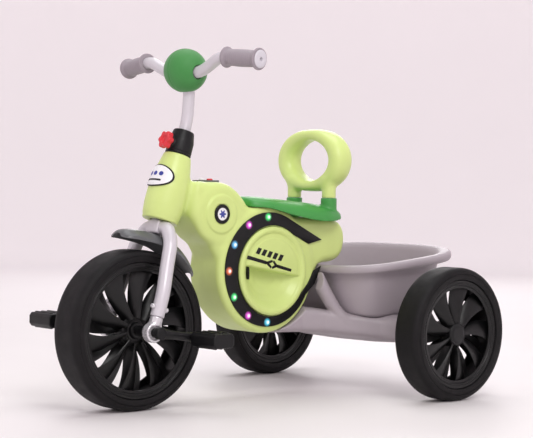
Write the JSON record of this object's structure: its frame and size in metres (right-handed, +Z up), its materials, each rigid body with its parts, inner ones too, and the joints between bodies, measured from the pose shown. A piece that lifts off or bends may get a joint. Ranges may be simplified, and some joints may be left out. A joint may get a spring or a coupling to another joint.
{
  "type": "children's tricycle",
  "caption": "Children's pedal tricycle with a moulded body, lit side rings, ring backrest, rear bin, bladed wheels, steering fork with mudguard, and a height-set handlebar",
  "frame": {"origin": "On the ground, at the middle of the bounding box in X and Y, with the steering and all joints at rest", "axes": "+Z is up, the tricycle's front faces -Y, and the rider's left is +X; the wheel axles run along X"},
  "size_m": [0.507, 0.724, 0.5684],
  "materials": {
    "lime_plastic": "satin moulded lime plastic",
    "green_plastic": "satin moulded green plastic",
    "red_plastic": "moulded red plastic",
    "white_plastic": "glossy white",
    "silver_paint": "pale silver powder coat",
    "grip_rubber": "matt grey grip",
    "pale_plastic": "pale end cap",
    "slate_plastic": "dark grey moulded plastic",
    "bin_plastic": "warm grey moulded plastic",
    "black_plastic": "black moulded plastic",
    "black_rim": "satin black rim plastic",
    "tyre_foam": "black tread material",
    "steel": "plain steel",
    "lens": "clear light lenses"
  },
  "bodies": {
    "frame": {"head_tube": "steel", "lower_cup": "black_plastic", "head_badge": "white_plastic", "frame_tube": "steel", "music_panel": "slate_plastic", "battery_box": "black_plastic", "speaker": "black_plastic", "seat": "green_plastic", "seat_bolt_front": "steel", "seat_bolt_rear": "steel", "backrest": "lime_plastic", "rear_bin": "bin_plastic", "rear_frame": "bin_plastic", "rear_axle": "steel", "body_shell_left": "lime_plastic", "led_ring_left": "black_plastic", "led_lenses_left": "lens", "side_cover_left": "lime_plastic", "round_badge_left": "white_plastic", "axle_nut_left": "steel", "body_shell_right": "lime_plastic", "led_ring_right": "black_plastic", "led_lenses_right": "lens", "side_cover_right": "lime_plastic", "round_badge_right": "white_plastic", "axle_nut_right": "steel"},
    "fork": {"fork_crown": "silver_paint", "mudguard": "slate_plastic", "mudguard_bolt": "steel", "stem_collar": "black_plastic", "fork_leg_left": "silver_paint", "fork_end_left": "steel", "fork_pin_left": "steel", "fork_leg_right": "silver_paint", "fork_end_right": "steel", "fork_pin_right": "steel"},
    "knob": {"clamp_knob": "red_plastic"},
    "handlebar": {"handlebar_stem": "silver_paint", "handlebar_bar": "silver_paint", "ball_cover": "green_plastic", "grip_left": "grip_rubber", "grip_cap_left": "pale_plastic", "grip_right": "grip_rubber", "grip_cap_right": "pale_plastic"},
    "front_wheel": {"front_tyre": "tyre_foam", "front_rim": "black_rim", "crank_axle": "steel"},
    "pedal_left_body": {"pedal_left": "black_plastic"},
    "pedal_right_body": {"pedal_right": "black_plastic"},
    "rear_wheel_left": {"rear_tyre_left": "tyre_foam", "rear_rim_left": "black_rim", "rear_hub_cap_left": "black_plastic"},
    "rear_wheel_right": {"rear_tyre_right": "tyre_foam", "rear_rim_right": "black_rim", "rear_hub_cap_right": "black_plastic"},
    "button_left_body": {"music_button_left": "red_plastic"},
    "button_right_body": {"music_button_right": "white_plastic"}
  },
  "joints": [
    {"name": "steering", "type": "hinge", "parent": "frame", "child": "fork", "pos_m": [0, -0.237, 0.125], "axis": [0, 0.3156, 0.9489], "range_deg": [-40, 40]},
    {"name": "handlebar_height", "type": "slide", "parent": "fork", "child": "handlebar", "axis": [0, 0.3156, 0.9489], "range_m": [0, 0.05]},
    {"name": "clamp_knob_turn", "type": "hinge", "parent": "fork", "child": "knob", "pos_m": [0, -0.16413, 0.42009], "axis": [0, -0.9489, 0.3156], "range_deg": [0, 360]},
    {"name": "front_wheel_spin", "type": "hinge", "parent": "fork", "child": "front_wheel", "pos_m": [0, -0.237, 0.125], "axis": [1, 0, 0], "continuous": true},
    {"name": "pedal_left_spin", "type": "hinge", "parent": "front_wheel", "child": "pedal_left_body", "pos_m": [0.1095, -0.16381, 0.11406], "axis": [1, 0, 0], "continuous": true},
    {"name": "pedal_right_spin", "type": "hinge", "parent": "front_wheel", "child": "pedal_right_body", "pos_m": [-0.1095, -0.31019, 0.13594], "axis": [1, 0, 0], "continuous": true},
    {"name": "rear_wheel_left_spin", "type": "hinge", "parent": "frame", "child": "rear_wheel_left", "pos_m": [0.2275, 0.252, 0.11], "axis": [1, 0, 0], "continuous": true},
    {"name": "rear_wheel_right_spin", "type": "hinge", "parent": "frame", "child": "rear_wheel_right", "pos_m": [-0.2275, 0.252, 0.11], "axis": [1, 0, 0], "continuous": true},
    {"name": "music_button_left_press", "type": "slide", "parent": "frame", "child": "button_left_body", "axis": [0, 0, -1], "range_m": [0, 0.0015], "stiffness_N_per_m": 300, "springref_m": -0.0008},
    {"name": "music_button_right_press", "type": "slide", "parent": "frame", "child": "button_right_body", "axis": [0, 0, -1], "range_m": [0, 0.0015], "stiffness_N_per_m": 300, "springref_m": -0.0008}
  ]
}
